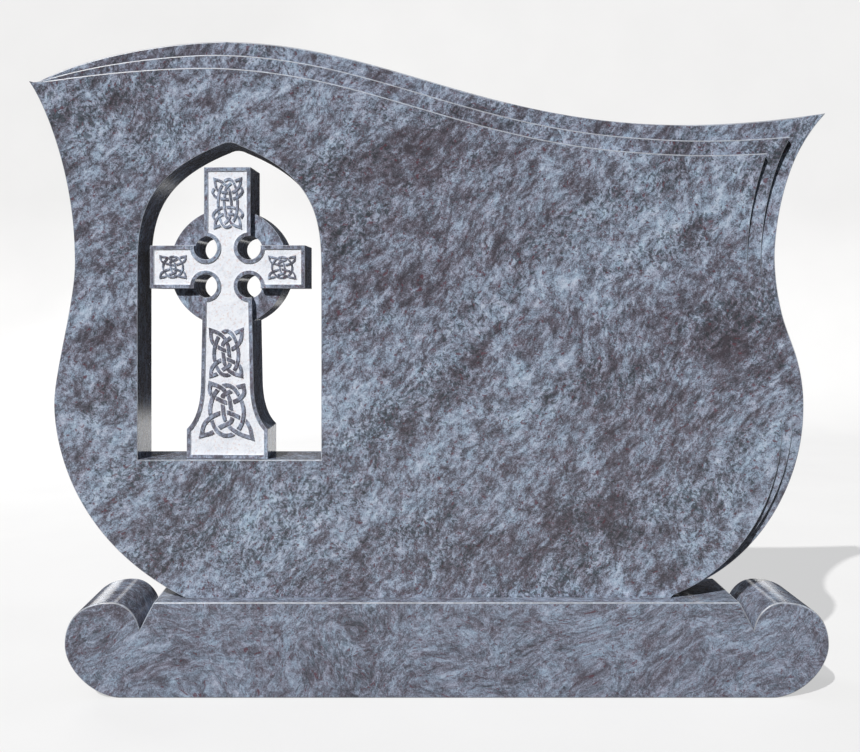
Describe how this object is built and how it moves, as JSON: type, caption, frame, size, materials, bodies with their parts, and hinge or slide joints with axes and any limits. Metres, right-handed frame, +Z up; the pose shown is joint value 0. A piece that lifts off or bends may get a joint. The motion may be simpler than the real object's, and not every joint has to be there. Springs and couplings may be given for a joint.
{
  "type": "celtic cross headstone",
  "caption": "Granite memorial: wave-shaped slab with stepped edges and a pointed window holding a ringed cross with knotwork, on a base with rolled ends.",
  "frame": {"origin": "on the ground, midway between the slab's two tips and at mid depth of the base", "axes": "+X to the right along the face, +Y from the face to the back, +Z up"},
  "size_m": [1.2994, 0.1524, 1.0587],
  "materials": {
    "polished_granite": "polished",
    "carved_granite": "sandblasted field with polished border, rims and strands",
    "base_granite": "polished"
  },
  "bodies": {
    "root": {"headstone": "polished_granite", "celtic_cross": "carved_granite", "base": "base_granite"}
  },
  "joints": []
}
